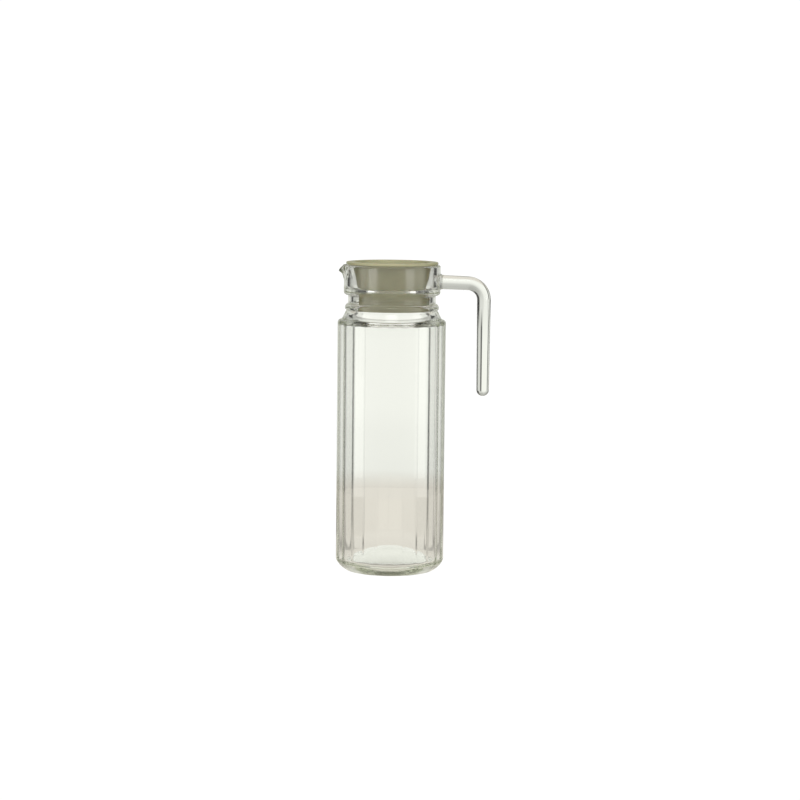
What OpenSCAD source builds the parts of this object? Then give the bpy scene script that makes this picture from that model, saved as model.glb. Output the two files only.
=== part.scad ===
// Glass pitcher with lid: a one litre fridge jug with a faceted body, a rod handle and a stopper lid.
// Millimetres. The origin is the centre of the base on the jug's axis, +Z is up,
// the pouring beak points to -X and the handle to +X.

/* [Glass body] */
// Distance from the axis to a corner between two panels
corner_r = 43.9; // [38:0.1:52]
// Number of flat panels round the body
panel_count = 24; // [16:1:32]
// Turn of the first corner away from the handle's direction, in degrees
panel_turn = 1.5; // [0:0.1:7]
// Height of the panels' top edge above the table
panel_h = 201; // [150:1:240]
// Glass thickness from an outside corner to the inside corner behind it
body_wall = 4.1; // [2.5:0.1:6]
// Glass thickness of the base at the edge of the floor
floor_t = 7.5; // [5:0.1:12]
// Glass thickness of the base in its middle
base_middle_t = 10.5; // [6:0.1:14]
// Radius of the round between the floor and the inside wall
floor_round = 4; // [2:0.1:10]
// How far the sloped heel draws in from the panels to the foot
heel_w = 7.7; // [3:0.1:9]
// Width of the ring that stands on the table
foot_w = 4; // [2:0.1:8]
// Height of the sloped heel between the foot and the panels
heel_h = 7.7; // [4:0.1:14]
// How far the sloped heel bulges out, across and down
heel_bulge = 0.6; // [0:0.1:1]
// Depth of the hollow under the base
punt_depth = 8; // [2:0.1:10]

/* [Shoulder and neck] */
// Radius of the round at the panels' top edge
shoulder_round = 3; // [1:0.1:5]
// Width of the flat ledge between that round and the shoulder cone
ledge_w = 0.5; // [0.2:0.1:2]
// Height of the shoulder cone
cone_h = 7.6; // [4:0.1:12]
// Radius of the bore through the neck
neck_bore_r = 31.4; // [26:0.1:34]
// Glass thickness of the neck
neck_wall = 4; // [3:0.1:5]
// How far the groove above the shoulder cone stands out from the neck
groove_step = 1.3; // [0.5:0.1:2]
// How far the bead stands out from the neck
bead_step = 2.5; // [2.2:0.1:4]
// Height of the bead
bead_h = 5.2; // [3:0.1:9]
// Height of the neck between the bead and the mouth ring
neck_h = 6.7; // [4:0.1:14]
// How far the neck bore runs down past the groove
bore_drop = 2.6; // [0:0.1:4]
// Glass thickness of the ledge at the panels' top edge
ledge_t = 3.5; // [2:0.1:6]
// Radius of the round inside, between the body's wall and the shoulder
inner_shoulder_round = 1; // [0.5:0.1:3]

/* [Mouth ring] */
// Height of the mouth ring
ring_h = 24.4; // [20:0.1:32]
// Glass thickness of the mouth ring
ring_wall = 4.9; // [4:0.1:7]
// How much wider the mouth bore is than the neck bore, in radius
shelf_w = 2.7; // [1.5:0.1:4]
// Depth of the mouth bore, from the rim to the shelf inside
mouth_depth = 18.4; // [14:0.1:19]
// Height of the sloped shelf between the mouth bore and the neck bore
shelf_h = 3.5; // [2:0.1:5]
// Radius of the round under the mouth ring
ring_round = 2.8; // [1:0.1:4]
// Radius of the round on the rim's outer edge
rim_round = 1.5; // [0.5:0.1:2]
// Radius of the round on the rim's inner edge
rim_inner_round = 0.8; // [0.3:0.1:1]

/* [Beak] */
// How far the tip of the beak stands out from the mouth ring
beak_reach = 4.05; // [2:0.05:9]
// Height of the beak, from its root on the ring to the rim
beak_h = 11.5; // [8:0.1:15]
// Drop from the rim to the tip of the beak
beak_drop = 3.9; // [2:0.1:6]
// Radius of the beak's round front at the height of its tip
beak_nose_r = 12; // [9:0.1:15]
// Glass thickness at the tip of the beak
beak_wall = 2.5; // [2:0.1:3.5]

/* [Handle] */
// Distance from the jug's axis to the handle's upright leg
handle_reach = 74.2; // [66:0.1:90]
// Diameter of the rod at the bend
rod_d = 11.2; // [8:0.1:14]
// Diameter of the rod where it joins the mouth ring
root_d = 11.5; // [8:0.1:14]
// Diameter of the rod at its free end
tip_d = 10.2; // [7:0.1:13]
// Bend radius of the rod, to its centreline
bend_r = 13.4; // [9:0.1:18]
// Length of the upright leg, from the bend to the free end
leg_h = 78; // [50:0.5:120]
// Height of the arm's centre above the lower edge of the mouth ring
arm_rise = 10.9; // [10:0.1:12]
// Fall of the arm from the mouth ring to the bend, in degrees
arm_droop = 2; // [0:0.1:5]
// Width of the glass fillet round the handle's root
root_fillet = 1.2; // [0.4:0.1:2]
// How far the rod swells where the bend runs into the arm
bend_swell = 0.03; // [0.02:0.01:0.1]

/* [Lid] */
// Distance from the lid's flange to the outside of the mouth ring
flange_inset = 1.85; // [1:0.05:2.8]
// Thickness of the lid's flange
flange_t = 2.4; // [1.5:0.1:4]
// Radius of the round on the flange's edge
flange_round = 0.8; // [0.3:0.1:1.1]
// Wall thickness of the moulding
lid_wall = 1.5; // [1:0.1:2]
// Gap between the cup wall and the mouth bore, at the flange
cup_gap = 2.4; // [0.8:0.1:3.2]
// Gap between the cup's narrow waist and the neck bore
waist_gap = 3.9; // [2:0.1:4.5]
// Depth of the cup, from the top of the flange to its floor
cup_depth = 20.8; // [16:0.1:21]
// Radius of the round between the cup's floor and wall
cup_round = 2.5; // [1:0.1:5]
// Fall of the shoulder between the waist and the skirt
lid_shoulder_h = 1.8; // [1.5:0.1:4]
// Height of the skirt below that shoulder
skirt_h = 14.75; // [10:0.05:20]
// Radial clearance between the skirt and the neck bore
skirt_gap = 0.8; // [0.5:0.05:1.2]
// Radial clearance between the sealing ribs and the neck bore
rib_gap = 0.3; // [0.2:0.05:0.4]
// Height of one sealing rib
rib_h = 1.6; // [1:0.1:2.5]
// Height of the lower rib's middle above the skirt's lower edge
rib_rise = 3; // [2:0.1:4]
// Distance between the middles of the two ribs
rib_pitch = 5.2; // [4:0.1:6.5]
// Widest opening between the pouring flat and the neck bore
pour_w = 6.4; // [4.5:0.1:7.5]
// Thickness of the finger grip inside the cup
grip_t = 5; // [3:0.1:8]
// Height of the finger grip above the cup's floor
grip_h = 12; // [8:0.1:14]

/* [Hidden] */
$fn = 96;
glass_colour = "#dfe5dc";
glass_alpha = 0.45;
lid_colour = "#908c73";
arc_steps = 8;
quarter = 90;
overrun = 0.5;

// Heights up the jug
ledge_z = panel_h + shoulder_round;
groove_z = ledge_z + cone_h;
bead_top_z = groove_z + bead_h;
ring_z = bead_top_z + neck_h;
rim_z = ring_z + ring_h;
shelf_top_z = rim_z - mouth_depth;
shelf_z = shelf_top_z - shelf_h;

// Inside of the jug
inner_r = corner_r - body_wall;
ring_bore_r = neck_bore_r + shelf_w;
bore_foot_z = groove_z - bore_drop;
inner_top_z = ledge_z - ledge_t;
shoulder_edge_r = inner_r - inner_shoulder_round;
floor_top_z = punt_depth + base_middle_t;
floor_round_r = inner_r - floor_round;
floor_slope = atan(2 * (floor_top_z - floor_t) / floor_round_r);
floor_edge_r = floor_round_r - floor_round * sin(floor_slope);
floor_edge_z = floor_t + floor_round * (1 - cos(floor_slope));

// Outside of the jug
foot_r = corner_r - heel_w;
foot_inner_r = foot_r - foot_w;
cone_foot_r = corner_r - shoulder_round - ledge_w;
neck_r = neck_bore_r + neck_wall;
groove_r = neck_r + groove_step;
bead_r = neck_r + bead_step;
ring_r = ring_bore_r + ring_wall;

// Rounds that their walls limit
neck_fillet = min(neck_h, ring_r - neck_r) / 4;
ring_low_round = min(ring_round, ring_r - neck_r - neck_fillet);

// Beak
beak_axis_r = ring_r + beak_reach - beak_nose_r;
beak_root_z = rim_z - beak_h;
beak_root_r = ring_r - beak_axis_r;
beak_flare = (beak_nose_r - beak_root_r) / (beak_h - beak_drop);
beak_inner_r = (ring_r + ring_bore_r) / 2;
channel_top_r = beak_nose_r - beak_wall;
channel_root_r = ring_bore_r - beak_axis_r;

// Handle
rod_r = rod_d / 2;
root_r = root_d / 2;
tip_r = tip_d / 2;
arm_z = ring_z + arm_rise;
bend_x = handle_reach - bend_r;
bend_end_x = bend_x + bend_r * sin(arm_droop);
arm_len = (bend_end_x - ring_r) / cos(arm_droop);
bend_z = arm_z - arm_len * sin(arm_droop) - bend_r * cos(arm_droop);
arm_inset = sqrt(bend_swell * rod_r) / 2;
tip_z = bend_z - leg_h + tip_r;
root_sink = (ring_r - ring_bore_r) / 2;

// Lid, seated on the rim
lid_top_z = rim_z + flange_t;
cup_floor_z = lid_top_z - cup_depth;
waist_z = cup_floor_z - lid_wall / 2;
skirt_top_z = waist_z - lid_shoulder_h;
skirt_z = skirt_top_z - skirt_h;
flange_r = ring_r - flange_inset;
cup_top_r = ring_bore_r - cup_gap;
waist_r = neck_bore_r - waist_gap;
skirt_r = neck_bore_r - skirt_gap;
rib_r = neck_bore_r - rib_gap;
pour_flat_r = neck_bore_r - pour_w;
hollow_top_z = cup_floor_z - lid_wall;
cup_slope = (cup_top_r - waist_r) / (rim_z - waist_z);
cup_mouth_r = cup_top_r - lid_wall + cup_slope * flange_t;
cup_floor_r = waist_r - lid_wall;
cup_edge_round = lid_wall / 2;

// Points on an arc of an ellipse with half widths a and b about the centre c
function arc(c, a, b, from, to) =
    [for (i = [0:arc_steps]) let (t = from + (to - from) * i / arc_steps)
        [c[0] + a * cos(t), c[1] + b * sin(t)]];

// Points on a shallow dome from its top on the axis at height top out to radius r at height edge
function dome(r, top, edge) =
    [for (i = [0:arc_steps]) let (s = i / arc_steps) [r * s, top + (edge - top) * s * s]];

// Points of the sloped heel from the foot out to the panels, wide enough for them to be cut from it
function heel() =
    [for (i = [0:arc_steps]) let (s = i / arc_steps, bulge = heel_bulge * sin(2 * quarter * s))
        [foot_r + (heel_w + overrun) * s + bulge, heel_h * s - bulge]];

// Points of the bead, which bulges between the groove and the neck
function bead() =
    [for (i = [0:arc_steps]) let (t = quarter * (2 * i / arc_steps - 1), up = (1 + sin(t)) / 2)
        [groove_r + (neck_r - groove_r) * up + (bead_r - (groove_r + neck_r) / 2) * cos(t),
         groove_z + bead_h * up]];

// Points of the inside wall where it draws in from the body to the neck, like a bell
function inner_shoulder() = concat(
    arc([shoulder_edge_r, inner_top_z - inner_shoulder_round],
        inner_shoulder_round + overrun, inner_shoulder_round, 0, quarter),
    arc([shoulder_edge_r, bore_foot_z], neck_bore_r - shoulder_edge_r, inner_top_z - bore_foot_z,
        quarter, 0));

// Points of one sealing rib with its middle at height z
function rib(z) = [[skirt_r, z - rib_h / 2], [rib_r, z - rib_h / 4], [rib_r, z + rib_h / 4],
                   [skirt_r, z + rib_h / 2]];

// Outside of the body as a turned shape, wider than the panels between heel and shoulder
module body_outside() {
    rotate_extrude()
        polygon(concat(
            dome(foot_inner_r, punt_depth, 0),
            heel(),
            arc([corner_r - shoulder_round, panel_h], shoulder_round + overrun, shoulder_round, 0, quarter),
            [[0, ledge_z]]));
}

// Outside of the shoulder cone, bead, neck and mouth ring
module neck_outside() {
    rotate_extrude()
        polygon(concat(
            [[0, ledge_z], [cone_foot_r, ledge_z]],
            bead(),
            arc([neck_r + neck_fillet, ring_z - neck_fillet], -neck_fillet, neck_fillet, 0, quarter),
            arc([ring_r - ring_low_round, ring_z + ring_low_round], ring_low_round, ring_low_round,
                -quarter, 0),
            arc([ring_r - rim_round, rim_z - rim_round], rim_round, rim_round, 0, quarter),
            [[0, rim_z]]));
}

// A many-sided prism with its corners at radius r, which makes flat panels up to height h
module panels(r, h) {
    linear_extrude(height = h)
        polygon([for (i = [0:panel_count - 1]) let (a = panel_turn + 4 * quarter * i / panel_count)
            r * [cos(a), sin(a)]]);
}

// Inside of the jug, open through the rim, with the panels showing on its wall too
module jug_inside() {
    intersection() {
        rotate_extrude()
            polygon(concat(
                dome(floor_edge_r, floor_top_z, floor_edge_z),
                arc([floor_round_r, floor_t + floor_round], floor_round, floor_round,
                    -quarter - floor_slope, -quarter),
                arc([floor_round_r, floor_t + floor_round], floor_round + overrun, floor_round,
                    -quarter, 0),
                inner_shoulder(),
                [[neck_bore_r, shelf_z], [ring_bore_r, shelf_top_z]],
                arc([ring_bore_r + rim_inner_round, rim_z - rim_inner_round],
                    -rim_inner_round, rim_inner_round, 0, quarter),
                [[ring_bore_r + rim_inner_round, rim_z + overrun], [0, rim_z + overrun]]));
        panels(inner_r, rim_z + overrun);
    }
}

// The pinched beak: a cone that leans out of the ring, its top sloped down to the tip
module beak() {
    intersection() {
        translate([-beak_axis_r, 0, beak_root_z])
            cylinder(h = beak_h, r1 = beak_root_r, r2 = beak_root_r + beak_flare * beak_h);
        rotate([quarter, 0, 0])
            linear_extrude(height = 2 * ring_r, center = true)
                polygon([[-beak_inner_r, beak_root_z], [-ring_r - beak_reach, beak_root_z],
                         [-ring_r - beak_reach, rim_z - beak_drop], [-ring_r, rim_z],
                         [-beak_inner_r, rim_z]]);
    }
}

// The groove in the rim that leads the drink out over the beak
module beak_channel() {
    translate([-beak_axis_r, 0, beak_root_z])
        cylinder(h = beak_h, r1 = channel_root_r, r2 = channel_top_r);
    translate([-beak_axis_r, 0, rim_z])
        cylinder(h = overrun, r = channel_top_r);
}

// Pressed glass vessel with its neck, mouth ring and beak
module jug_body() {
    color(glass_colour, glass_alpha)
        difference() {
            union() {
                intersection() {
                    body_outside();
                    panels(corner_r, ledge_z + overrun);
                }
                neck_outside();
                beak();
            }
            jug_inside();
            beak_channel();
        }
}

// The upright leg with its round free end
module handle_leg() {
    translate([handle_reach, 0, tip_z]) {
        sphere(r = tip_r);
        cylinder(h = bend_z - tip_z, r1 = tip_r, r2 = rod_r);
    }
}

// The quarter bend, with the slight swelling at its upper end
module handle_bend() {
    translate([bend_x, 0, bend_z]) {
        rotate([quarter, 0, 0])
            rotate_extrude(angle = quarter - arm_droop)
                translate([bend_r, 0])
                    circle(r = rod_r);
        rotate([0, arm_droop - quarter, 0])
            translate([bend_r, 0, 0])
                sphere(r = rod_r + bend_swell);
    }
}

// The arm from inside that swelling to the mouth ring, with the fillet that flares onto the ring
module handle_arm() {
    translate([bend_x, 0, bend_z])
        rotate([0, arm_droop - quarter, 0])
            translate([bend_r, 0, 0]) {
                translate([0, 0, arm_inset])
                    cylinder(h = arm_len + root_sink - arm_inset, r1 = rod_r, r2 = root_r);
                rotate_extrude()
                    polygon(concat(
                        [[0, arm_len - 2 * root_fillet]],
                        arc([root_r + root_fillet, arm_len - 2 * root_fillet],
                            -root_fillet, 2 * root_fillet, 0, quarter),
                        [[root_r + root_fillet, arm_len + root_sink], [0, arm_len + root_sink]]));
            }
}

// Solid glass rod, bent once and fused to the mouth ring, with its lower end free
module handle() {
    color(glass_colour, glass_alpha)
        difference() {
            union() {
                handle_leg();
                handle_bend();
                handle_arm();
            }
            translate([0, 0, ring_z])
                cylinder(h = ring_h, r = ring_r);
        }
}

// Outside of the lid before the pouring gap is cut
module lid_outside() {
    rotate_extrude()
        polygon(concat(
            [[0, skirt_z], [skirt_r - lid_wall / 2, skirt_z], [skirt_r, skirt_z + lid_wall / 2]],
            rib(skirt_z + rib_rise),
            rib(skirt_z + rib_rise + rib_pitch),
            [[skirt_r, skirt_top_z], [waist_r, waist_z], [cup_top_r, rim_z]],
            arc([flange_r - flange_round, rim_z + flange_round], flange_round, flange_round, -quarter, 0),
            arc([flange_r - flange_round, lid_top_z - flange_round], flange_round, flange_round, 0, quarter),
            [[0, lid_top_z]]));
}

// The open cup in the top of the lid
module lid_cup() {
    rotate_extrude()
        polygon(concat(
            [[0, cup_floor_z]],
            arc([cup_floor_r - cup_round, cup_floor_z + cup_round], cup_round, cup_round, -quarter, 0),
            arc([cup_mouth_r + cup_edge_round, lid_top_z - cup_edge_round],
                -cup_edge_round, cup_edge_round, 0, quarter),
            [[cup_mouth_r + cup_edge_round, lid_top_z + overrun], [0, lid_top_z + overrun]]));
}

// The hollow inside the skirt, which leaves a wall behind the pouring flat
module skirt_hollow() {
    intersection() {
        rotate_extrude()
            polygon([[0, skirt_z - overrun], [skirt_r - lid_wall, skirt_z - overrun],
                     [skirt_r - lid_wall, skirt_top_z - lid_wall], [waist_r - lid_wall, hollow_top_z],
                     [0, hollow_top_z]]);
        translate([lid_wall - pour_flat_r, -skirt_r, skirt_z - overrun])
            cube([pour_flat_r + skirt_r, 2 * skirt_r, lid_top_z - skirt_z]);
    }
}

// The slice off the skirt that lets the drink past when it faces the beak
module pour_gap() {
    translate([-skirt_r - overrun - pour_flat_r, -skirt_r - overrun, skirt_z - overrun])
        cube([skirt_r + overrun, 2 * (skirt_r + overrun), waist_z - skirt_z + overrun]);
}

// A low bar across the cup to hold the lid by
module grip() {
    intersection() {
        lid_outside();
        union() {
            translate([-cup_top_r, -grip_t / 2, hollow_top_z])
                cube([2 * cup_top_r, grip_t, lid_wall + grip_h - grip_t / 2]);
            translate([-cup_top_r, 0, cup_floor_z + grip_h - grip_t / 2])
                rotate([0, quarter, 0])
                    cylinder(h = 2 * cup_top_r, r = grip_t / 2);
        }
    }
}

// Soft moulded stopper: a cup on top, a sealing skirt below, in one piece
module lid() {
    color(lid_colour) {
        difference() {
            lid_outside();
            lid_cup();
            skirt_hollow();
            pour_gap();
        }
        grip();
    }
}

jug_body();
handle();
lid();
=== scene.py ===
import math

import bmesh
import bpy
import mathutils
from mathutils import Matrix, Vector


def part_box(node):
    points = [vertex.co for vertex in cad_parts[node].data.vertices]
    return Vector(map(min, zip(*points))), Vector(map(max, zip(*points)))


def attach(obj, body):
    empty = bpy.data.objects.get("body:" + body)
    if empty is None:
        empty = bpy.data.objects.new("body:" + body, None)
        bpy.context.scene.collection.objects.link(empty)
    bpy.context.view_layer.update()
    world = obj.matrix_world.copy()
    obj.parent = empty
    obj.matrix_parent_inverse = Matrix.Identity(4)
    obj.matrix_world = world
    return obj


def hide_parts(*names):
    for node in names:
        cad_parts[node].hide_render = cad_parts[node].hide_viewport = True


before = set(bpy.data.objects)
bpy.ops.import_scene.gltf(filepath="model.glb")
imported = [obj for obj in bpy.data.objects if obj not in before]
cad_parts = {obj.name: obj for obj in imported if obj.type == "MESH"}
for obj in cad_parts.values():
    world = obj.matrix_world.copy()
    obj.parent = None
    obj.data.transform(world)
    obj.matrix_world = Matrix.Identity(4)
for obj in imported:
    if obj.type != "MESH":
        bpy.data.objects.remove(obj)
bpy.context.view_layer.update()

# The glass body: one piece of soda-lime glass, pressed and blown in a mould with 24 flat panels.
# It is turned here ring by ring: up the outside from the panels' lower edge, over the rim, down the
# inside, and last the underside. Then its panels are flattened and its pouring beak is pulled out.
mm = 0.001
quarter = math.pi / 2
jug_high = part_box("jug_body")[1]
rim_z = jug_high.z
panel_count = 24
panel_cuts = 5
panel_turn = math.radians(1.5)
panel_top_z = 201 * mm
corner_r = jug_high.y / math.cos(panel_turn)
corner_round_w = 1 * mm
corner_steps = 4
corner_trim = 0.04 * mm
inner_trim = 0.06 * mm
wall_t = 4.1 * mm
panel_w = 2 * corner_r * math.sin(math.pi / panel_count)
panel_r = corner_r * math.cos(math.pi / panel_count)
body_r = corner_r - corner_trim
inner_r = corner_r - wall_t
inner_panel_r = inner_r * math.cos(math.pi / panel_count) + inner_trim
heel_w = 7.7 * mm
heel_h = 7.7 * mm
heel_bulge = 0.6 * mm
heel_steps = 10
foot_w = 4 * mm
foot_r = corner_r - heel_w
foot_inner_r = foot_r - foot_w
punt_depth = 8 * mm
floor_edge_t = 7.5 * mm
floor_middle_t = 10.5 * mm
floor_round = 4 * mm
floor_top_z = punt_depth + floor_middle_t
dome_steps = 20
shoulder_round = 3 * mm
ledge_w = 0.5 * mm
ledge_t = 3.5 * mm
ledge_z = panel_top_z + shoulder_round
cone_h = 7.6 * mm
cone_foot_r = corner_r - shoulder_round - ledge_w
cone_foot_soft = 0.3 * mm
groove_step = 1.3 * mm
groove_z = ledge_z + cone_h
bead_step = 2.5 * mm
bead_h = 5.2 * mm
bead_steps = 12
bead_top_z = groove_z + bead_h
neck_h = 6.7 * mm
neck_wall_t = 4 * mm
neck_bore_r = 31.4 * mm
neck_r = neck_bore_r + neck_wall_t
groove_r = neck_r + groove_step
bead_r = neck_r + bead_step
ring_step = 2.7 * mm
ring_wall_t = 4.9 * mm
ring_z = bead_top_z + neck_h
ring_bore_r = neck_bore_r + ring_step
ring_r = ring_bore_r + ring_wall_t
ring_fillet = 0.9 * mm
ring_low_round = 2.7 * mm
rim_round = 1.5 * mm
rim_inner_round = 0.8 * mm
rim_soft = 1.2 * mm
shelf_depth = 18.4 * mm
shelf_h = 3.5 * mm
shelf_soft = 0.6 * mm
shelf_edge = 0.1 * mm
shelf_top_z = rim_z - shelf_depth
shelf_z = shelf_top_z - shelf_h
bore_drop = 2.6 * mm
bore_foot_z = groove_z - bore_drop
inner_shoulder_z = ledge_z - ledge_t
inner_shoulder_round = 1 * mm
merge_gap = 0.001 * mm


def arc(centre, across, up, start, end, steps=8):
    """Points (radius, height) on an arc of an ellipse about the centre."""
    angles = [start + (end - start) * i / steps for i in range(steps + 1)]
    return [(centre[0] + across * math.cos(a), centre[1] + up * math.sin(a)) for a in angles]


def straight(start, end, steps):
    """Points that divide the line from start to end, without its start."""
    shares = [i / steps for i in range(1, steps + 1)]
    return [(start[0] + (end[0] - start[0]) * s, start[1] + (end[1] - start[1]) * s) for s in shares]


def ring_radius():
    """Mean distance of the selected vertices from the axis."""
    mesh = bmesh.from_edit_mesh(bpy.context.object.data)
    reach = [v.co.xy.length for v in mesh.verts if v.select]
    return sum(reach) / len(reach)


def turn_wall(points):
    """Extrudes the selected ring through the points (radius, height), as a lathe would turn it."""
    for before, after in zip(points, points[1:]):
        bpy.ops.mesh.extrude_region_move(TRANSFORM_OT_translate={"value": (0, 0, after[1] - before[1])})
        size = after[0] / ring_radius()
        bpy.ops.transform.resize(value=(size, size, 1), center_override=(0, 0, 0))


def close_pole():
    """Draws the selected ring together on the axis, which closes the wall there."""
    bpy.ops.mesh.extrude_region_move(TRANSFORM_OT_translate={"value": (0, 0, 0)})
    bpy.ops.mesh.merge(type="CENTER")


def select_verts(wanted):
    """Selects the vertices for which wanted is true."""
    mesh = bmesh.from_edit_mesh(bpy.context.object.data)
    for part in list(mesh.faces) + list(mesh.edges) + list(mesh.verts):
        part.select = False
    for v in mesh.verts:
        v.select = bool(wanted(v.co))
    mesh.select_flush_mode()
    bmesh.update_edit_mesh(bpy.context.object.data)


def start_piece(name):
    """Names the new primitive, puts its place in its mesh and opens it in edit mode."""
    piece = bpy.context.object
    piece.name = piece.data.name = name
    bpy.ops.object.transform_apply(location=True, rotation=True, scale=True)
    bpy.ops.object.mode_set(mode="EDIT")
    bpy.ops.mesh.select_mode(type="VERT")
    bpy.ops.mesh.select_all(action="SELECT")
    return piece


def close_seams():
    """Merges what lies together and turns all faces outwards, then leaves edit mode."""
    bpy.ops.mesh.select_all(action="SELECT")
    bpy.ops.mesh.remove_doubles(threshold=merge_gap)
    bpy.ops.mesh.normals_make_consistent(inside=False)
    bpy.ops.object.mode_set(mode="OBJECT")


def finish_piece(piece, smooth, material):
    """Closes the seams, smooths the shading up to that angle, keeps flat faces flat, adds the material."""
    close_seams()
    bpy.ops.object.shade_smooth_by_angle(angle=math.radians(smooth))
    piece.modifiers.new("even shading", "WEIGHTED_NORMAL")
    bpy.ops.object.modifier_apply(modifier="even shading")
    piece.data.materials.clear()
    piece.data.materials.append(material)
    bpy.ops.object.select_all(action="DESELECT")


def linear(hex_colour):
    """An sRGB hex colour as linear RGBA."""
    shares = [int(hex_colour[i:i + 2], 16) / 255 for i in (1, 3, 5)]
    return [s / 12.92 if s <= 0.04045 else ((s + 0.055) / 1.055) ** 2.4 for s in shares] + [1]


def node(owner, kind, stops=(), **given):
    """Adds a node: names in small letters are its settings, the others its inputs, set or linked.

    An input without a name of its own goes by its number, as in _0 for the first one. A colour
    ramp's stops are pairs of a place from 0 to 1 and a colour or a grey level.
    """
    added = owner.node_tree.nodes.new(kind)
    for name, value in given.items():
        if name.islower():
            setattr(added, name, value)
            continue
        socket = added.inputs[int(name[1:]) if name[1:].isdigit() else name.replace("_", " ")]
        if isinstance(value, bpy.types.NodeSocket):
            owner.node_tree.links.new(value, socket)
        else:
            socket.default_value = value
    if stops:
        ramp = added.color_ramp
        ramp.interpolation = "EASE"
        while len(ramp.elements) < len(stops):
            ramp.elements.new(1)
        for element, (share, tone) in zip(ramp.elements, stops):
            element.position = share
            element.color = tone if isinstance(tone, list) else (tone, tone, tone, 1)
    return added


def bare(owner):
    """Empties the node tree of a new material, light or world."""
    owner.use_nodes = True
    owner.node_tree.nodes.clear()
    return owner


# Soda-lime glass, pressed and fire-polished: clear, with a grey-green tint that only thick glass
# shows. The mould's chill leaves long shallow waves, which bend what is seen through the panels,
# and wear clouds the polish a little in patches of about 14 mm.
glass_tint = linear("#DFE4CE")
tint_density = 5
wear_patch = 14 * mm
wear_roughness = 0.02


def glass_material(name, wave_width, wave_length, wave_height):
    """Clear glass with waves of that size, given in metres."""
    glass = bare(bpy.data.materials.new(name))
    place = node(glass, "ShaderNodeTexCoord")
    stretch = node(glass, "ShaderNodeMapping", Vector=place.outputs["Object"],
                   Scale=(1 / wave_width, 1 / wave_width, 1 / wave_length))
    waves = node(glass, "ShaderNodeTexNoise", Vector=stretch.outputs["Vector"],
                 Scale=1, Detail=2, Roughness=0.4)
    bump = node(glass, "ShaderNodeBump", Height=waves.outputs["Fac"], Strength=1, Distance=wave_height)
    cloud = node(glass, "ShaderNodeTexNoise", Vector=place.outputs["Object"], Scale=1 / wear_patch, Detail=3)
    rough = node(glass, "ShaderNodeMapRange", Value=cloud.outputs["Fac"],
                 From_Min=0.35, From_Max=0.75, To_Min=0, To_Max=wear_roughness)
    surface = node(glass, "ShaderNodeBsdfPrincipled", Base_Color=linear("#FFFFFF"), IOR=1.52,
                   Roughness=rough.outputs["Result"], Normal=bump.outputs["Normal"], Transmission_Weight=1)
    tint = node(glass, "ShaderNodeVolumeAbsorption", Color=glass_tint, Density=tint_density)
    node(glass, "ShaderNodeOutputMaterial", Surface=surface.outputs[0], Volume=tint.outputs[0])
    return glass


bpy.ops.object.select_all(action="DESELECT")
bpy.ops.mesh.primitive_circle_add(
    vertices=panel_count, radius=corner_r, location=(0, 0, heel_h), rotation=(0, 0, panel_turn))
jug = start_piece("jug")
bpy.ops.mesh.bevel(offset=corner_round_w, segments=corner_steps, affect="VERTICES")
mesh = bmesh.from_edit_mesh(jug.data)
for edge in mesh.edges:
    edge.select = edge.calc_length() > panel_w / 2
bmesh.update_edit_mesh(jug.data)
bpy.ops.mesh.subdivide(number_cuts=panel_cuts)
bpy.ops.mesh.select_all(action="SELECT")
bpy.ops.transform.tosphere(value=1)
size = body_r / ring_radius()
bpy.ops.transform.resize(value=(size, size, 1), center_override=(0, 0, 0))

bead_middle = (groove_r + neck_r) / 2
bead_points = []
for i in range(bead_steps + 1):
    turn = quarter * (2 * i / bead_steps - 1)
    up = (1 + math.sin(turn)) / 2
    bead_points.append((groove_r + (neck_r - groove_r) * up + (bead_r - bead_middle) * math.cos(turn),
                        groove_z + bead_h * up))
inner_shoulder = (
    arc((inner_r - inner_shoulder_round, bore_foot_z), inner_shoulder_round + neck_bore_r - inner_r,
        inner_shoulder_z - bore_foot_z, 0, quarter, 16)
    + arc((inner_r - inner_shoulder_round, inner_shoulder_z - inner_shoulder_round),
          inner_shoulder_round, inner_shoulder_round, quarter, 0, 6)[1:])
outside = (
    [(body_r, heel_h)]
    + straight((body_r, heel_h), (body_r, panel_top_z), 6)
    + arc((body_r - shoulder_round, panel_top_z), shoulder_round, shoulder_round, 0, quarter, 10)[1:]
    + [(cone_foot_r + cone_foot_soft, ledge_z), (cone_foot_r, ledge_z + cone_foot_soft / 2)]
    + straight((cone_foot_r, ledge_z + cone_foot_soft / 2), (groove_r, groove_z), 5)
    + bead_points[1:]
    + straight((neck_r, bead_top_z), (neck_r, ring_z - ring_fillet), 4)
    + arc((neck_r + ring_fillet, ring_z - ring_fillet), -ring_fillet, ring_fillet, 0, quarter, 4)[1:]
    + arc((ring_r - ring_low_round, ring_z + ring_low_round), ring_low_round, ring_low_round, -quarter, 0)[1:]
    + straight((ring_r, ring_z + ring_low_round), (ring_r, rim_z - rim_round), 16)
    + arc((ring_r - rim_round, rim_z - rim_round), rim_round, rim_round, 0, quarter, 6)[1:])
dome_slope = math.atan(2 * (floor_top_z - floor_edge_t) / (inner_r - floor_round))
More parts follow.
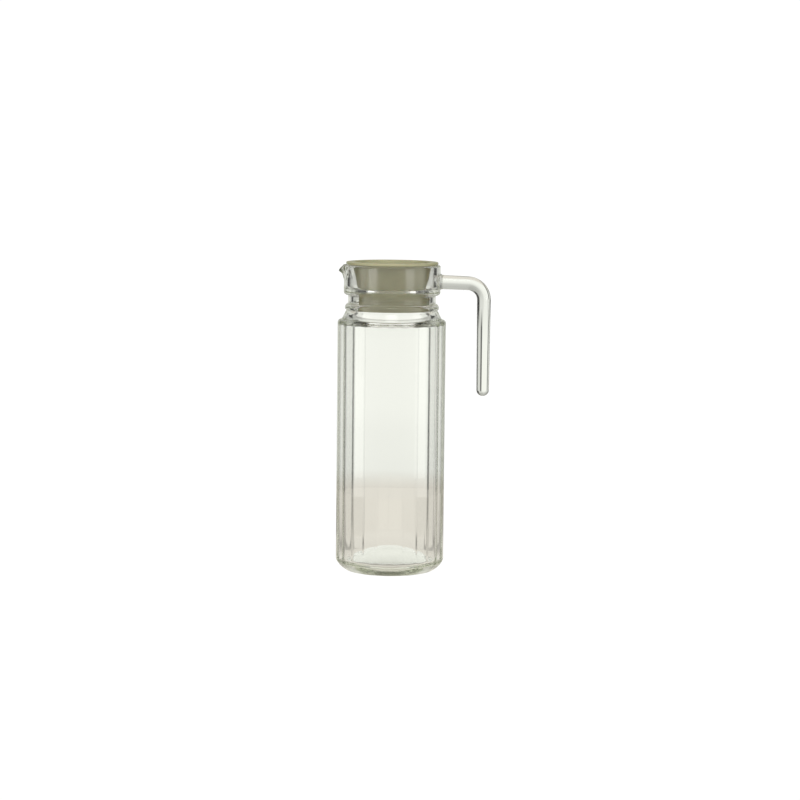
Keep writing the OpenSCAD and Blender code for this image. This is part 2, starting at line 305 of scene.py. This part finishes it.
inside = (
    [(ring_r - rim_round, rim_z)]
    + straight((ring_r - rim_round, rim_z), (ring_bore_r + rim_inner_round, rim_z), 3)
    + arc((ring_bore_r + rim_inner_round, rim_z - rim_inner_round),
          -rim_inner_round, rim_inner_round, quarter, 0, 5)[1:]
    + straight((ring_bore_r, rim_z - rim_inner_round), (ring_bore_r, shelf_top_z + shelf_soft), 13)
    + [(ring_bore_r - shelf_edge, shelf_top_z)]
    + straight((ring_bore_r - shelf_edge, shelf_top_z), (neck_bore_r + shelf_edge, shelf_z), 4)
    + [(neck_bore_r, shelf_z - shelf_soft)]
    + straight((neck_bore_r, shelf_z - shelf_soft), (neck_bore_r, bore_foot_z), 3)
    + inner_shoulder[1:]
    + straight(inner_shoulder[-1], (inner_r, floor_edge_t + floor_round), 6)
    + arc((inner_r - floor_round, floor_edge_t + floor_round), floor_round, floor_round,
          0, -quarter - dome_slope, 16)[1:])
floor_edge_r, floor_edge_z = inside[-1]
dome_shares = [1 - i / dome_steps for i in range(1, dome_steps)]
inside += [(floor_edge_r * s, floor_edge_z + (floor_top_z - floor_edge_z) * (1 - s * s)) for s in dome_shares]
heel = []
for i in range(heel_steps + 1):
    share = i / heel_steps
    bulge = heel_bulge * math.sin(math.pi * share)
    heel.append((body_r + (foot_r - body_r) * share + bulge, heel_h * (1 - share) - bulge))
underside = (
    heel
    + straight((foot_r, 0), (foot_inner_r, 0), 3)
    + [(foot_inner_r * s, punt_depth * (1 - s * s)) for s in dome_shares])
turn_wall(outside)
turn_wall(inside)
close_pole()
select_verts(lambda co: abs(co.z - heel_h) < merge_gap and co.xy.length > foot_r)
turn_wall(underside)
close_pole()

# Each panel is flattened in turn, while the glass is turned under it by one panel at a time.
# The inside wall follows the panels, as in a blown jug, with corners that are a little softer.
bpy.ops.mesh.select_all(action="SELECT")
bpy.ops.transform.rotate(value=math.pi / panel_count, orient_axis="Z", center_override=(0, 0, 0))
for panel in range(panel_count):
    select_verts(lambda co: co.x > panel_r and co.z < ledge_z)
    bpy.ops.transform.resize(value=(0, 1, 1), center_override=(panel_r, 0, 0))
    select_verts(lambda co: (co.x > inner_panel_r and co.xy.length < inner_r + corner_trim
                             and heel_h < co.z < panel_top_z))
    bpy.ops.transform.resize(value=(0, 1, 1), center_override=(inner_panel_r, 0, 0))
    bpy.ops.mesh.select_all(action="SELECT")
    bpy.ops.transform.rotate(value=2 * math.pi / panel_count, orient_axis="Z", center_override=(0, 0, 0))
bpy.ops.transform.rotate(value=-math.pi / panel_count, orient_axis="Z", center_override=(0, 0, 0))

# The beak is pulled out of the rim: its inner edge first, which thins the lip, then the whole lip,
# and last its tip is pressed down.
beak_reach = 2.9 * mm
beak_drop = 0.6 * mm
beak_thinning = 2.2 * mm
beak_half_w = 1.5 * mm
tip_press = 3.2 * mm
edge_pull_r = 9 * mm
lip_pull_r = 11 * mm
tip_press_r = 6 * mm
beak_pulls = (
    (rim_soft, -ring_bore_r - rim_soft, 0, (-beak_thinning, 0, 0), "SMOOTH", edge_pull_r),
    (rim_soft, -2 * ring_r, -ring_bore_r, (-beak_reach, 0, -beak_drop), "LINEAR", lip_pull_r),
    (beak_thinning, -2 * ring_r, -ring_r - beak_thinning, (0, 0, -tip_press), "LINEAR", tip_press_r))
for depth, outer_x, inner_x, pull, falloff, reach in beak_pulls:
    select_verts(lambda co: co.z > rim_z - depth and abs(co.y) < beak_half_w and outer_x < co.x < inner_x)
    bpy.ops.transform.translate(
        value=pull, use_proportional_edit=True,
        proportional_edit_falloff=falloff, proportional_size=reach)
pressed_glass = glass_material(
    "pressed soda-lime glass", wave_width=3 * mm, wave_length=60 * mm, wave_height=0.004 * mm)
finish_piece(jug, smooth=180, material=pressed_glass)
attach(jug, "jug")
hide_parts("jug_body")

# The handle: a solid rod of the same glass, drawn, bent once while soft and fused to the ring.
# Its arm runs out with a slight fall, and its leg hangs down to a fire-rounded free end.
handle_low, handle_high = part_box("handle")
rod_r = 5.6 * mm
root_r = 5.75 * mm
tip_r = 5.1 * mm
root_fillet = 1.2 * mm
root_gap = 0.05 * mm
root_sink = 2 * mm
root_steps = 6
rod_sides = 48
seat_h = 40 * mm
seat_sides = 216
bend_r = 13.4 * mm
bend_steps = 14
arm_rise = 10.9 * mm
arm_z = ring_z + arm_rise
arm_droop = math.radians(2)
leg_x = handle_high.x - rod_r
bend_x = leg_x - bend_r
bend_end_x = bend_x + bend_r * math.sin(arm_droop)
arm_len = (bend_end_x - ring_r) / math.cos(arm_droop)
bend_z = arm_z - arm_len * math.sin(arm_droop) - bend_r * math.cos(arm_droop)
tip_z = handle_low.z + tip_r
bpy.ops.mesh.primitive_circle_add(
    vertices=rod_sides, radius=root_r + root_fillet, rotation=(0, quarter + arm_droop, 0),
    location=(ring_r - root_sink * math.cos(arm_droop), 0, arm_z + root_sink * math.sin(arm_droop)))
handle = start_piece("handle")
bpy.ops.mesh.extrude_region_move()
bpy.ops.mesh.merge(type="CENTER")
select_verts(lambda co: math.hypot(co.y, co.z - arm_z) > root_r / 2)
arm_points = [(root_r + root_fillet, root_sink)]
for i in range(1, root_steps + 1):
    turn = quarter * i / root_steps
    arm_points.append((root_r + root_fillet * (1 - math.sin(turn)),
                       root_sink + 2 * root_fillet * (1 - math.cos(turn))))
arm_points += straight(arm_points[-1], (rod_r, root_sink + arm_len), 4)
before = (root_r + root_fillet, 0)
for radius, along in arm_points:
    step = along - before[1]
    bpy.ops.mesh.extrude_region_move(TRANSFORM_OT_translate={
        "value": (step * math.cos(arm_droop), 0, -step * math.sin(arm_droop))})
    size = radius / before[0]
    here = (ring_r + (along - root_sink) * math.cos(arm_droop), 0,
            arm_z - (along - root_sink) * math.sin(arm_droop))
    bpy.ops.transform.resize(value=(size, size, size), center_override=here)
    before = (radius, along)
bpy.ops.mesh.spin(
    steps=bend_steps, angle=arm_droop - quarter, center=(bend_x, 0, bend_z), axis=(0, 1, 0))
leg_points = [(rod_r, bend_z)] + straight((rod_r, bend_z), (tip_r, tip_z), 5)
leg_points += arc((0, tip_z), tip_r, tip_r, 0, -quarter, 10)[1:-1]
for before, after in zip(leg_points, leg_points[1:]):
    bpy.ops.mesh.extrude_region_move(TRANSFORM_OT_translate={"value": (0, 0, after[1] - before[1])})
    size = after[0] / before[0]
    bpy.ops.transform.resize(value=(size, size, 1), center_override=(leg_x, 0, after[1]))
bpy.ops.mesh.extrude_region_move(TRANSFORM_OT_translate={"value": (0, 0, tip_z - tip_r - leg_points[-1][1])})
bpy.ops.mesh.merge(type="CENTER")
close_seams()
bpy.ops.object.select_all(action="DESELECT")
bpy.ops.mesh.primitive_cylinder_add(
    vertices=seat_sides, radius=ring_r + root_gap, depth=seat_h, location=(0, 0, arm_z))
ring_cutter = bpy.context.object
bpy.ops.object.transform_apply(location=True, rotation=True, scale=True)
bpy.ops.object.select_all(action="DESELECT")
handle.select_set(True)
bpy.context.view_layer.objects.active = handle
seat = handle.modifiers.new("seat on the ring", "BOOLEAN")
seat.operation = "DIFFERENCE"
seat.object = ring_cutter
bpy.ops.object.modifier_apply(modifier="seat on the ring")
bpy.data.objects.remove(ring_cutter)
bpy.ops.object.mode_set(mode="EDIT")
drawn_glass = glass_material(
    "drawn soda-lime glass rod", wave_width=9 * mm, wave_length=14 * mm, wave_height=0.01 * mm)
finish_piece(handle, smooth=40, material=drawn_glass)
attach(handle, "jug")
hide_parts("handle")

# The lid: one moulding of soft olive-grey polyethylene. Its flange rests on the rim, its cup is
# open above with a bar to hold it by, and its ribbed skirt seals in the neck but for a pouring flat.
lid_low, lid_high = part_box("lid")
lid_top_z = lid_high.z
lid_wall = 1.5 * mm
flange_r = lid_high.x
flange_round = 0.8 * mm
flange_gap = 0.05 * mm
flange_z = rim_z + flange_gap
cup_gap = 2.4 * mm
cup_depth = 20.8 * mm
cup_round = 2.5 * mm
cup_edge = 0.3 * mm
cup_top_r = ring_bore_r - cup_gap
cup_floor_z = lid_top_z - cup_depth
waist_gap = 3.9 * mm
waist_r = neck_bore_r - waist_gap
waist_z = cup_floor_z - lid_wall / 2
skirt_gap = 0.8 * mm
skirt_slope_h = 1.8 * mm
skirt_edge = 0.2 * mm
skirt_r = neck_bore_r - skirt_gap
skirt_top_z = waist_z - skirt_slope_h
skirt_z = lid_low.z
rib_gap = 0.3 * mm
rib_h = 1.6 * mm
rib_soft = 0.1 * mm
rib_r = neck_bore_r - rib_gap
rib_heights = (skirt_z + 8.2 * mm, skirt_z + 3 * mm)
pour_flat_depth = 6.4 * mm
pour_flat_x = pour_flat_depth - neck_bore_r
cup_slope = (cup_top_r - waist_r) / (rim_z - waist_z)
cup_mouth_r = cup_top_r - lid_wall + cup_slope * (lid_top_z - rim_z)
cup_floor_r = waist_r - lid_wall
hollow_top_z = cup_floor_z - lid_wall
core_r = 3 * mm
lid_sides = 192
grip_t = 5 * mm
grip_h = 12 * mm
grip_round_share = 0.46
grip_round_steps = 8
bpy.ops.mesh.primitive_circle_add(vertices=lid_sides, radius=core_r, location=(0, 0, cup_floor_z))
lid = start_piece("lid")
lid_outline = (
    [(core_r, cup_floor_z)]
    + straight((core_r, cup_floor_z), (cup_floor_r - cup_round, cup_floor_z), 8)
    + arc((cup_floor_r - cup_round, cup_floor_z + cup_round), cup_round, cup_round, -quarter, 0, 6)[1:]
    + straight((cup_floor_r, cup_floor_z + cup_round), (cup_mouth_r, lid_top_z - lid_wall / 2), 8)
    + arc((cup_mouth_r + lid_wall / 2, lid_top_z - lid_wall / 2),
          -lid_wall / 2, lid_wall / 2, 0, quarter, 5)[1:]
    + straight((cup_mouth_r + lid_wall / 2, lid_top_z), (flange_r - flange_round, lid_top_z), 3)
    + arc((flange_r - flange_round, lid_top_z - flange_round), flange_round, flange_round, quarter, 0, 5)[1:]
    + [(flange_r, flange_z + flange_round)]
    + arc((flange_r - flange_round, flange_z + flange_round), flange_round, flange_round, 0, -quarter, 5)[1:]
    + straight((flange_r - flange_round, flange_z), (cup_top_r + cup_edge, flange_z), 2)
    + [(cup_top_r, flange_z - cup_edge)]
    + straight((cup_top_r, flange_z - cup_edge), (waist_r, waist_z), 10))
skirt_outline = [(waist_r, waist_z), (waist_r + rib_soft / 5, waist_z - rib_soft / 5), (skirt_r, skirt_top_z)]
for rib_z in rib_heights:
    skirt_outline += [
        (skirt_r, rib_z + rib_h / 2), (rib_r - rib_soft, rib_z + rib_h / 3), (rib_r, rib_z + rib_h / 4),
        (rib_r, rib_z - rib_h / 4), (rib_r - rib_soft, rib_z - rib_h / 3), (skirt_r, rib_z - rib_h / 2)]
skirt_outline += [(skirt_r, skirt_z + lid_wall / 2)]
skirt_outline += arc((skirt_r - lid_wall / 2, skirt_z + lid_wall / 2), lid_wall / 2, lid_wall / 2,
                     0, -quarter, 4)[1:]
hollow_r = skirt_r - lid_wall
hollow_outline = (
    [(skirt_r - lid_wall / 2, skirt_z), (hollow_r + skirt_edge, skirt_z), (hollow_r, skirt_z + skirt_edge)]
    + straight((hollow_r, skirt_z + skirt_edge), (hollow_r, skirt_top_z - lid_wall), 4)
    + [(waist_r - lid_wall, hollow_top_z)]
    + straight((waist_r - lid_wall, hollow_top_z), (core_r, hollow_top_z), 4))
turn_wall(lid_outline)
first_skirt_vert = len(bmesh.from_edit_mesh(lid.data).verts)
turn_wall(skirt_outline)
first_hollow_vert = len(bmesh.from_edit_mesh(lid.data).verts)
turn_wall(hollow_outline)
close_pole()
select_verts(lambda co: co.xy.length < core_r + skirt_edge and co.z > hollow_top_z + lid_wall / 2)
close_pole()
last_hollow_vert = len(bmesh.from_edit_mesh(lid.data).verts)
for first, last, flat_x in ((first_skirt_vert, first_hollow_vert, pour_flat_x),
                            (first_hollow_vert, last_hollow_vert, pour_flat_x + lid_wall)):
    bpy.ops.mesh.select_all(action="DESELECT")
    mesh = bmesh.from_edit_mesh(lid.data)
    for v in mesh.verts:
        v.select = first <= v.index < last and v.co.x < flat_x
    mesh.select_flush_mode()
    bmesh.update_edit_mesh(lid.data)
    bpy.ops.transform.resize(value=(0, 1, 1), center_override=(flat_x, 0, 0))
close_seams()
bpy.ops.object.select_all(action="DESELECT")
bpy.ops.mesh.primitive_cube_add(
    size=1, location=(0, 0, cup_floor_z + grip_h / 2 - lid_wall / 4),
    scale=(2 * (cup_floor_r + lid_wall / 2), grip_t, grip_h + lid_wall / 2))
grip = start_piece("grip")
mesh = bmesh.from_edit_mesh(grip.data)
grip_top = max(v.co.z for v in mesh.verts)
bpy.ops.mesh.select_all(action="DESELECT")
bpy.ops.mesh.select_mode(type="EDGE")
for edge in mesh.edges:
    a, b = (v.co for v in edge.verts)
    edge.select = min(a.z, b.z) > grip_top - mm and abs(a.y - b.y) < mm
bmesh.update_edit_mesh(grip.data)
bpy.ops.mesh.bevel(offset=grip_t * grip_round_share, segments=grip_round_steps, affect="EDGES")
close_seams()
bpy.ops.object.select_all(action="DESELECT")
lid.select_set(True)
bpy.context.view_layer.objects.active = lid
join = lid.modifiers.new("grip moulded on", "BOOLEAN")
join.operation = "UNION"
join.object = grip
bpy.ops.object.modifier_apply(modifier="grip moulded on")
bpy.data.objects.remove(grip)
bpy.ops.object.mode_set(mode="EDIT")

# Low-density polyethylene, injection moulded: satin, faintly see-through at its surface, with a
# slight unevenness of its olive-grey colour and the fine texture of a blasted mould. That texture
# is drawn at 0.35 mm, coarser than the real one, so that it shows at all.
tone_patch = 9 * mm
grain_w = 0.35 * mm
grain_depth = 0.008 * mm
see_through_depth = 1.5 * mm
plastic = bare(bpy.data.materials.new("moulded polyethylene"))
place = node(plastic, "ShaderNodeTexCoord")
cloud = node(plastic, "ShaderNodeTexNoise", Vector=place.outputs["Object"], Scale=1 / tone_patch, Detail=3)
# Its olive-grey is drawn lighter than the plastic's own colour: a painted brightening that stands in for the
# light the softboxes don't send through the glass to the lid.
tone = node(plastic, "ShaderNodeValToRGB", ((0.3, linear("#B9B691")), (0.7, linear("#C0BD98"))),
            Fac=cloud.outputs["Fac"])
grain = node(plastic, "ShaderNodeTexNoise", Vector=place.outputs["Object"], Scale=1 / grain_w, Detail=2)
bump = node(plastic, "ShaderNodeBump", Height=grain.outputs["Fac"], Strength=1, Distance=grain_depth)
rough = node(plastic, "ShaderNodeMapRange", Value=cloud.outputs["Fac"], To_Min=0.34, To_Max=0.44)
surface = node(plastic, "ShaderNodeBsdfPrincipled", Base_Color=tone.outputs["Color"], IOR=1.51,
               Roughness=rough.outputs["Result"], Normal=bump.outputs["Normal"],
               Subsurface_Weight=0.1, Subsurface_Scale=see_through_depth)
node(plastic, "ShaderNodeOutputMaterial", Surface=surface.outputs[0])
finish_piece(lid, smooth=35, material=plastic)
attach(lid, "lid")
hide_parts("lid")

# The table and the paper behind it glow evenly white for the camera, as in the photograph. What
# the glass bends into view is their tone with painted light and shade: a bright field in the middle
# that falls off beside it into dark bands, in steps given as (place from left to right, brightness),
# which draws the glass's dark lines. Painted shade up the paper, darker at its foot and high up, and
# a painted shadow out over the table about the jug are given in the same way, as shares of its size.
wall_r = 440 * mm
wall_h = 1600 * mm
stage_sides = 96
table_gap = 0.05 * mm
white_glow = 1.05
low_field = ((0, 0.08), (0.08, 0.08), (0.14, 0.72), (0.25, 0.74), (0.28, 0.1), (0.32, 0.1), (0.345, 1),
             (0.65, 1), (0.675, 0.1), (0.72, 0.1), (0.75, 0.72), (0.86, 0.68), (0.92, 0.08), (1, 0.08))
high_field = ((0, 0.03), (0.16, 0.03), (0.21, 0.82), (0.38, 0.82), (0.44, 1),
              (0.58, 1), (0.64, 0.82), (0.79, 0.8), (0.84, 0.03), (1, 0.03))
paper_shade_by_height = ((0, 0.88), (0.03, 0.92), (0.055, 0.97), (0.09, 0.97), (0.115, 0.9), (0.13, 0.84),
                (0.17, 0.62), (0.2, 0.55), (0.3, 0.5))
table_shadow = ((0, 0.38), (0.068, 0.38), (0.079, 0.88), (0.12, 0.95), (0.2, 0.88), (0.4, 0.93))
table_field_share = 0.7
table_field_r = (60 * mm, 130 * mm)
high_field_z = (168 * mm, 188 * mm)
paper_foot_h = 18 * mm
table_tone = linear("#ECE8DC")
paper_tone = linear("#FDFFF6")


def glow(stage, tone, strength):
    """Gives a stage material a glow of that tone, and plain white for what the camera sees."""
    ray = node(stage, "ShaderNodeLightPath")
    own = node(stage, "ShaderNodeEmission", Color=tone, Strength=strength)
    white = node(stage, "ShaderNodeEmission", Color=linear("#FFFFFF"), Strength=white_glow)
    mix = node(stage, "ShaderNodeMixShader",
               _0=ray.outputs["Is Camera Ray"], _1=own.outputs[0], _2=white.outputs[0])
    node(stage, "ShaderNodeOutputMaterial", Surface=mix.outputs[0])


bpy.ops.mesh.primitive_circle_add(
    vertices=stage_sides, radius=wall_r, fill_type="NGON", location=(0, 0, -table_gap))
floor = start_piece("floor")
bpy.ops.object.mode_set(mode="OBJECT")
table = bare(bpy.data.materials.new("matt white table"))
place = node(table, "ShaderNodeTexCoord")
split = node(table, "ShaderNodeSeparateXYZ", Vector=place.outputs["Object"])
reach = node(table, "ShaderNodeVectorMath", operation="LENGTH", _0=place.outputs["Object"])
reach_share = node(table, "ShaderNodeMath", operation="DIVIDE", _0=reach.outputs["Value"], _1=wall_r)
# A painted shadow darkens the table's glow about the jug's foot, and a painted field of light with dark bands
# fades in further out.
shadow = node(table, "ShaderNodeValToRGB", table_shadow, Fac=reach_share.outputs[0])
aside = node(table, "ShaderNodeMath", operation="DIVIDE", _0=split.outputs["X"], _1=reach.outputs["Value"])
aside_share = node(table, "ShaderNodeMapRange", Value=aside.outputs[0], From_Min=-1, From_Max=1)
field = node(table, "ShaderNodeValToRGB", low_field, Fac=aside_share.outputs["Result"])
away = node(table, "ShaderNodeMapRange", Value=reach.outputs["Value"],
            From_Min=table_field_r[0], From_Max=table_field_r[1], To_Min=0, To_Max=table_field_share)
faded = node(table, "ShaderNodeMix", data_type="FLOAT", Factor=away.outputs["Result"],
             A=1, B=field.outputs["Color"])
level = node(table, "ShaderNodeMath", operation="MULTIPLY",
             _0=shadow.outputs["Color"], _1=faded.outputs["Result"])
glow(table, table_tone, level.outputs[0])
floor.data.materials.append(table)
bpy.ops.object.select_all(action="DESELECT")
bpy.ops.mesh.primitive_cylinder_add(
    vertices=stage_sides, radius=wall_r, depth=wall_h, end_fill_type="NOTHING", location=(0, 0, wall_h / 2))
wall = start_piece("paper_wall")
select_verts(lambda co: co.y < -mm)
bpy.ops.mesh.delete(type="VERT")
bpy.ops.object.mode_set(mode="OBJECT")
paper = bare(bpy.data.materials.new("white paper backdrop"))
place = node(paper, "ShaderNodeTexCoord")
split = node(paper, "ShaderNodeSeparateXYZ", Vector=place.outputs["Object"])
across = node(paper, "ShaderNodeMapRange", Value=split.outputs["X"], From_Min=-wall_r, From_Max=wall_r)
up = node(paper, "ShaderNodeMath", operation="DIVIDE", _0=split.outputs["Z"], _1=wall_h)
# The paper's glow carries painted light and shade: a bright field that falls off into dark bands across it,
# and painted shade that steps with height, darker at its foot and high up.
low = node(paper, "ShaderNodeValToRGB", low_field, Fac=across.outputs["Result"])
high = node(paper, "ShaderNodeValToRGB", high_field, Fac=across.outputs["Result"])
upper = node(paper, "ShaderNodeMapRange", Value=split.outputs["Z"],
             From_Min=high_field_z[0], From_Max=high_field_z[1])
field = node(paper, "ShaderNodeMix", data_type="FLOAT", Factor=upper.outputs["Result"],
             A=low.outputs["Color"], B=high.outputs["Color"])
height = node(paper, "ShaderNodeValToRGB", paper_shade_by_height, Fac=up.outputs[0])
level = node(paper, "ShaderNodeMath", operation="MULTIPLY",
             _0=height.outputs["Color"], _1=field.outputs["Result"])
rise = node(paper, "ShaderNodeMapRange", Value=split.outputs["Z"], From_Min=0, From_Max=paper_foot_h)
tone = node(paper, "ShaderNodeMix", data_type="RGBA", _0=rise.outputs["Result"], _6=table_tone, _7=paper_tone)
glow(paper, tone.outputs[2], level.outputs[0])
wall.data.materials.append(paper)

# A view from behind looks in through the paper, so no camera sees it directly.
wall.visible_camera = False

# The room: soft light from the front and from above, strongest at the front sides, and dark
# behind the paper and beside its edges, where black cards stand in the studio.
room_depth = ((0, 0.8), (0.2, 0.9), (0.35, 1.5), (0.44, 1.55), (0.5, 0.1), (0.56, 0.1))
room_height = ((0, 0.5), (0.45, 0.8), (0.5, 1), (0.8, 0.8), (1, 0.5))
ceiling_light = 0.5
scene = bpy.context.scene
room = bare(bpy.data.worlds.new("studio"))
scene.world = room
place = node(room, "ShaderNodeTexCoord")
split = node(room, "ShaderNodeSeparateXYZ", Vector=place.outputs["Generated"])
depth_share = node(room, "ShaderNodeMapRange", Value=split.outputs["Y"], From_Min=-1, From_Max=1)
depth = node(room, "ShaderNodeValToRGB", room_depth, Fac=depth_share.outputs["Result"])
height_share = node(room, "ShaderNodeMapRange", Value=split.outputs["Z"], From_Min=-1, From_Max=1)
height = node(room, "ShaderNodeValToRGB", room_height, Fac=height_share.outputs["Result"])
even = node(room, "ShaderNodeMath", operation="MULTIPLY",
            _0=depth.outputs["Color"], _1=height.outputs["Color"])
above = node(room, "ShaderNodeMapRange", Value=split.outputs["Z"], From_Min=0.35, From_Max=0.6)
front = node(room, "ShaderNodeMapRange", Value=split.outputs["Y"], From_Min=0.3, From_Max=-0.2)
ceiling = node(room, "ShaderNodeMath", operation="MULTIPLY",
               _0=above.outputs["Result"], _1=front.outputs["Result"])
level = node(room, "ShaderNodeMath", operation="MULTIPLY_ADD",
             _0=ceiling.outputs[0], _1=ceiling_light, _2=even.outputs[0])
ray = node(room, "ShaderNodeLightPath")
own = node(room, "ShaderNodeBackground", Color=linear("#F4F4F0"), Strength=level.outputs[0])
white = node(room, "ShaderNodeBackground", Color=linear("#FFFFFF"), Strength=white_glow)
mix = node(room, "ShaderNodeMixShader",
           _0=ray.outputs["Is Camera Ray"], _1=own.outputs[0], _2=white.outputs[0])
node(room, "ShaderNodeOutputWorld", Surface=mix.outputs[0])

# Three softboxes, brightest in their middles: two at the front corners, low, which draw the pale
# upright strips over the lid's cup, and one high in front. Their light doesn't reach through glass.
softbox_w = 0.9
softbox_aim_z = 150 * mm
for name, place, tall, radiance in (
        ("left softbox", (-1.08, -1.04, 0.23), 0.3, 3),
        ("right softbox", (1.02, -1.1, 0.23), 0.3, 2.7),
        ("top softbox", (0, -1, 1.5), 0.5, 3)):
    lamp = bpy.data.lights.new(name, "AREA")
    lamp.shape = "RECTANGLE"
    lamp.size = softbox_w
    lamp.size_y = tall
    lamp.energy = radiance * math.pi * lamp.size * tall
    bare(lamp)
    spread = node(lamp, "ShaderNodeTexCoord")
    split = node(lamp, "ShaderNodeSeparateXYZ", Vector=spread.outputs["UV"])
    sides = node(lamp, "ShaderNodeValToRGB", ((0, 0), (0.35, 1), (0.65, 1), (1, 0)), Fac=split.outputs["X"])
    ends = node(lamp, "ShaderNodeValToRGB", ((0, 0), (0.3, 1), (0.7, 1), (1, 0)), Fac=split.outputs["Y"])
    soft = node(lamp, "ShaderNodeMath", operation="MULTIPLY",
                _0=sides.outputs["Color"], _1=ends.outputs["Color"])
    light = node(lamp, "ShaderNodeEmission", Color=linear("#FFFFFF"), Strength=soft.outputs[0])
    node(lamp, "ShaderNodeOutputLight", Surface=light.outputs[0])
    stand = bpy.data.objects.new(name, lamp)
    stand.location = place
    aim = mathutils.Vector((0, 0, softbox_aim_z)) - stand.location
    stand.rotation_euler = aim.to_track_quat("-Z", "Y").to_euler()
    stand.visible_camera = False
    stand.visible_transmission = False
    scene.collection.objects.link(stand)

# The camera of the photograph, worked out from the jug's own circles: 1.77 m in front of the jug,
# looking down on it by 6.4 degrees and leaning by 0.6 degrees. Light crosses many glass walls on
# its way, so it may bounce often.
camera_place = (7.3 * mm, -1772 * mm, 337 * mm)
camera_tilt = math.radians(6.4)
camera_lean = math.radians(0.6)
camera_data = bpy.data.cameras.new("camera")
camera_data.lens = 98.87
camera_data.sensor_width = 36
camera = bpy.data.objects.new("camera", camera_data)
camera.location = camera_place
lean = mathutils.Matrix.Rotation(camera_lean, 3, "Z")
look = mathutils.Euler((quarter - camera_tilt, 0, 0)).to_matrix() @ lean
camera.rotation_euler = look.to_euler()
scene.collection.objects.link(camera)
scene.camera = camera
scene.view_settings.view_transform = "Standard"
scene.cycles.max_bounces = 96
scene.cycles.glossy_bounces = 64
scene.cycles.transmission_bounces = 64
scene.cycles.diffuse_bounces = 6
